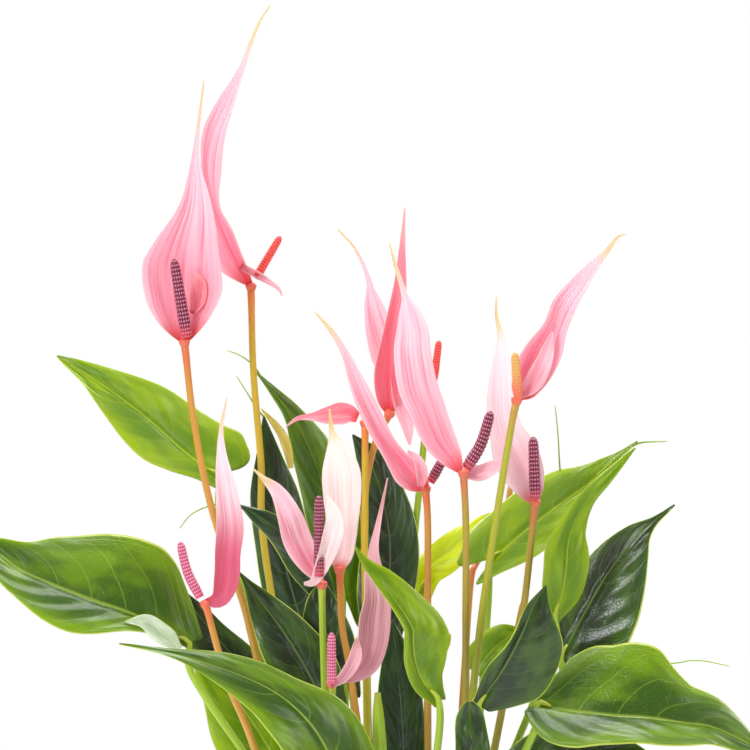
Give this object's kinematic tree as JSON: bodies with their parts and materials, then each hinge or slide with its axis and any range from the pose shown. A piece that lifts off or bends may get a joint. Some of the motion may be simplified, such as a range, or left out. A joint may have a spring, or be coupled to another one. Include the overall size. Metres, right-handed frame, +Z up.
{
  "type": "potted anthurium",
  "caption": "Potted anthurium with glossy heart-shaped leaves and upright pale pink spathes with dark spadices, in a plain tapered pot.",
  "frame": {"origin": "centre of the underside of the pot, on the floor", "axes": "+Z up; -Y is the side that the picture looks at"},
  "size_m": [0.3307, 0.1487, 0.4674],
  "materials": {
    "pot_ceramic": "matte",
    "potting_soil": "matte",
    "leaf_green": "gloss",
    "spathe_pink": "satin",
    "spadix_purple": "satin",
    "stem_ochre": "satin"
  },
  "bodies": {
    "root": {"bud_stem": "stem_ochre", "flower_01_spadix": "spadix_purple", "flower_01_spathe": "spathe_pink", "flower_01_stem": "stem_ochre", "flower_02_spadix": "spadix_purple", "flower_02_spathe": "spathe_pink", "flower_02_stem": "stem_ochre", "flower_03_spathe": "spathe_pink", "flower_03_stem": "stem_ochre", "flower_04_spathe": "spathe_pink", "flower_04_stem": "stem_ochre", "flower_05_spadix": "spadix_purple", "flower_05_spathe": "spathe_pink", "flower_05_stem": "stem_ochre", "flower_06_spadix": "spadix_purple", "flower_06_spathe": "spathe_pink", "flower_06_stem": "stem_ochre", "flower_07_spadix": "spadix_purple", "flower_07_spathe": "spathe_pink", "flower_07_stem": "stem_ochre", "flower_08_spadix": "spadix_purple", "flower_08_spathe": "spathe_pink", "flower_08_stem": "stem_ochre", "flower_09_spadix": "spadix_purple", "flower_09_spathe": "spathe_pink", "flower_09_stem": "stem_ochre", "flower_10_spadix": "spadix_purple", "flower_10_spathe": "spathe_pink", "flower_10_stem": "stem_ochre", "flower_11_spathe": "spathe_pink", "flower_11_stem": "stem_ochre", "flower_12_spadix": "spadix_purple", "flower_12_spathe": "spathe_pink", "flower_12_stem": "stem_ochre", "flower_13_spadix": "spadix_purple", "flower_13_spathe": "spathe_pink", "flower_13_stem": "stem_ochre", "leaf_01": "leaf_green", "leaf_02": "leaf_green", "leaf_03": "leaf_green", "leaf_04": "leaf_green", "leaf_05": "leaf_green", "leaf_06": "leaf_green", "leaf_07": "leaf_green", "leaf_08": "leaf_green", "leaf_09": "leaf_green", "leaf_10": "leaf_green", "leaf_11": "leaf_green", "leaf_12": "leaf_green", "leaf_13": "leaf_green", "leaf_14": "leaf_green", "leaf_15": "leaf_green", "leaf_16": "leaf_green", "leaf_17": "leaf_green", "leaf_18": "leaf_green", "leaf_19": "leaf_green", "leaf_20": "leaf_green", "leaf_21": "leaf_green", "pot": "pot_ceramic", "soil": "potting_soil"}
  },
  "joints": []
}
